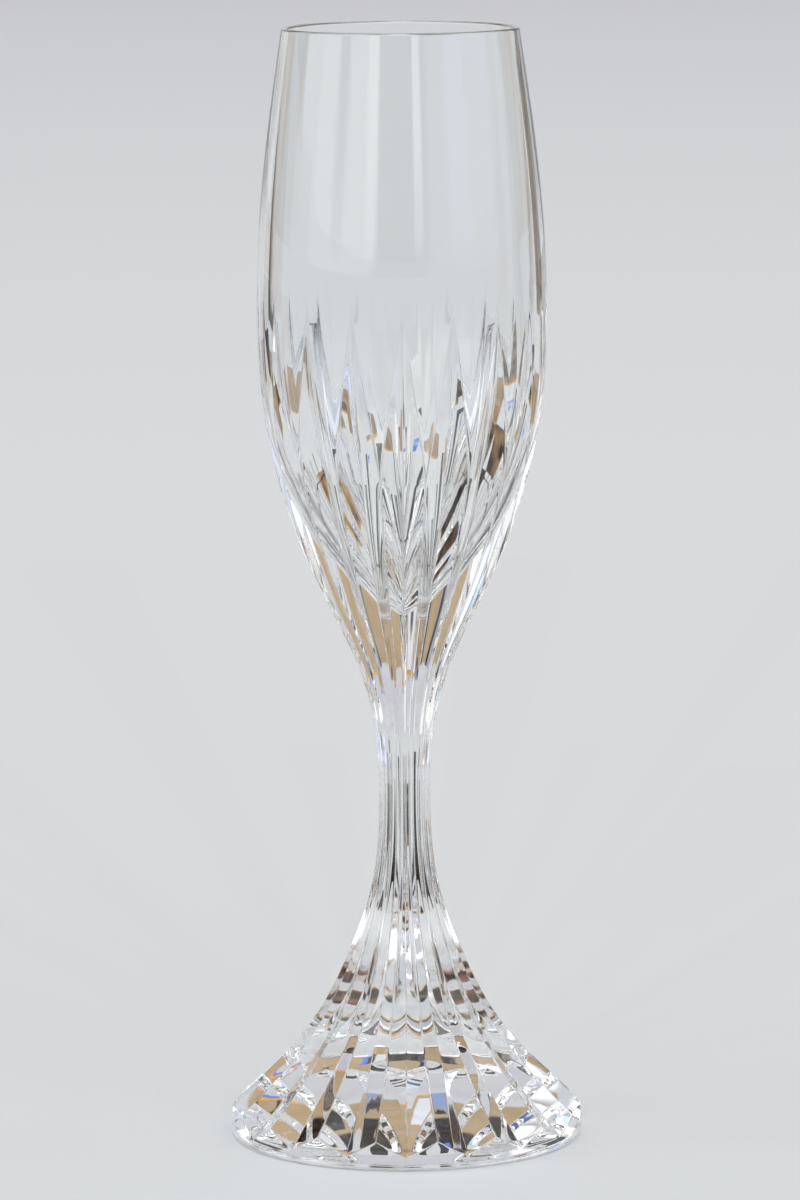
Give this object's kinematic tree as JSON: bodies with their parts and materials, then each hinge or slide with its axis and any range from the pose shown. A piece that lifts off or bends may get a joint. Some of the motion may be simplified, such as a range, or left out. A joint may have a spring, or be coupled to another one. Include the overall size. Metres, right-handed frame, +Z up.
{
  "type": "champagne flute",
  "caption": "Tall cut-crystal champagne flute: plain upper bowl, V-cut lower bowl with pointed cut ends, slim fluted stem and a flared, faceted foot with a plain band.",
  "frame": {"origin": "middle of the flat ring that the glass stands on", "axes": "+Z up the glass's axis, from the foot to the rim; one cut of the pattern faces -Y"},
  "size_m": [0.0682, 0.0682, 0.215],
  "materials": {
    "foot_crystal": "clear lead crystal, cut and polished",
    "stem_crystal": "clear lead crystal, cut and polished",
    "bowl_crystal": "clear lead crystal, blown, fire-polished rim, cut and polished below"
  },
  "bodies": {
    "root": {"foot": "foot_crystal", "stem": "stem_crystal", "bowl": "bowl_crystal"}
  },
  "joints": []
}
